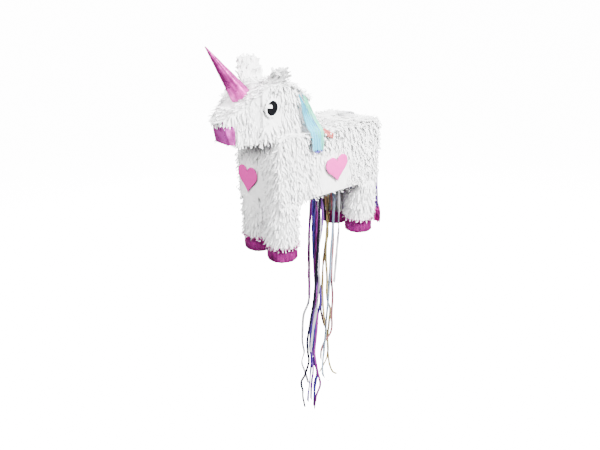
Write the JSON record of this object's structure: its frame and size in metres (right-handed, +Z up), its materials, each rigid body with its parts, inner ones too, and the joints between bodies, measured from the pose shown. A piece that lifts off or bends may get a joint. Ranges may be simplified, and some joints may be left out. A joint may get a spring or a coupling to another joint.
{
  "type": "pinata",
  "caption": "Hollow cardboard unicorn pinata covered in cut white tissue, with a foil horn and hooves, a belly trap door and a bunch of pull ribbons.",
  "frame": {"origin": "top of the hanging eyelet in the back, on the middle plane", "axes": "+Z up, the unicorn faces -X, its left flank is on -Y"},
  "size_m": [0.3849, 0.132, 0.8448],
  "materials": {
    "carcass_card": "matte",
    "white_tissue": "matte",
    "pink_foil": "gloss",
    "horn_satin": "satin",
    "pink_card": "matte",
    "eye_sticker": "gloss",
    "eyelet_metal": "satin",
    "paper_tape": "matte",
    "mane_blue": "matte",
    "mane_green": "matte",
    "mane_purple": "matte",
    "ribbon_grey": "gloss",
    "ribbon_magenta": "gloss",
    "ribbon_violet": "gloss",
    "ribbon_blue": "gloss",
    "ribbon_navy": "gloss",
    "ribbon_purple": "gloss",
    "ribbon_silver": "gloss",
    "ribbon_black": "gloss",
    "ribbon_jet": "gloss",
    "ribbon_gold": "gloss",
    "ribbon_yellow": "gloss",
    "ribbon_rose": "gloss",
    "ribbon_sky": "gloss",
    "ribbon_pearl": "gloss",
    "pull_ribbon": "gloss"
  },
  "bodies": {
    "root": {"side_panel_left": "carcass_card", "side_panel_right": "carcass_card", "back_panel": "carcass_card", "belly_panel": "carcass_card", "chest_panel": "carcass_card", "rump_panel": "carcass_card", "head_shell": "carcass_card", "snout_shell": "carcass_card", "front_left_leg": "carcass_card", "front_right_leg": "carcass_card", "rear_left_leg": "carcass_card", "rear_right_leg": "carcass_card", "body_fringe": "white_tissue", "head_fringe": "white_tissue", "left_ear": "white_tissue", "right_ear": "white_tissue", "front_left_fringe": "white_tissue", "front_right_fringe": "white_tissue", "rear_left_fringe": "white_tissue", "rear_right_fringe": "white_tissue", "muzzle_cup": "pink_foil", "front_left_hoof": "pink_foil", "front_right_hoof": "pink_foil", "rear_left_hoof": "pink_foil", "rear_right_hoof": "pink_foil", "horn": "horn_satin", "chest_heart": "pink_card", "left_heart": "pink_card", "right_heart": "pink_card", "left_eye": "eye_sticker", "right_eye": "eye_sticker", "hanging_eyelet": "eyelet_metal", "eyelet_washer": "eyelet_metal", "fill_flap_tape": "paper_tape", "trap_door_tape": "paper_tape", "front_ribbon_bar": "paper_tape", "rear_ribbon_bar": "paper_tape", "mane_blue": "mane_blue", "mane_green": "mane_green", "mane_purple": "mane_purple", "tail": "mane_purple", "ribbon_grey": "ribbon_grey", "ribbon_magenta": "ribbon_magenta", "ribbon_violet": "ribbon_violet", "ribbon_blue": "ribbon_blue", "ribbon_navy": "ribbon_navy", "ribbon_purple": "ribbon_purple", "ribbon_silver": "ribbon_silver", "ribbon_black": "ribbon_black", "ribbon_jet": "ribbon_jet", "ribbon_gold": "ribbon_gold", "ribbon_yellow": "ribbon_yellow", "ribbon_rose": "ribbon_rose", "ribbon_sky": "ribbon_sky", "ribbon_pearl": "ribbon_pearl"},
    "fill_flap": {"fill_flap": "carcass_card", "flap_rosette": "white_tissue"},
    "trap_door": {"trap_door": "carcass_card", "ribbon_patch": "paper_tape"},
    "pull_ribbon": {"pull_ribbon": "pull_ribbon"}
  },
  "joints": [
    {"name": "trap_door_hinge", "type": "hinge", "parent": "root", "child": "trap_door", "pos_m": [0.048, 0.0305, -0.1283], "axis": [1, 0, 0], "range_deg": [0, 90]},
    {"name": "pull_ribbon_swing", "type": "hinge", "parent": "trap_door", "child": "pull_ribbon", "pos_m": [0.048, 0, -0.1323], "axis": [1, 0, 0], "range_deg": [-90, 0]},
    {"name": "fill_flap_hinge", "type": "hinge", "parent": "root", "child": "fill_flap", "pos_m": [0.0895, 0, -0.001], "axis": [0, -1, 0], "range_deg": [0, 110]}
  ],
  "couplings": [
    {"joint": "pull_ribbon_swing", "follows": "trap_door_hinge", "ratio": -1}
  ]
}
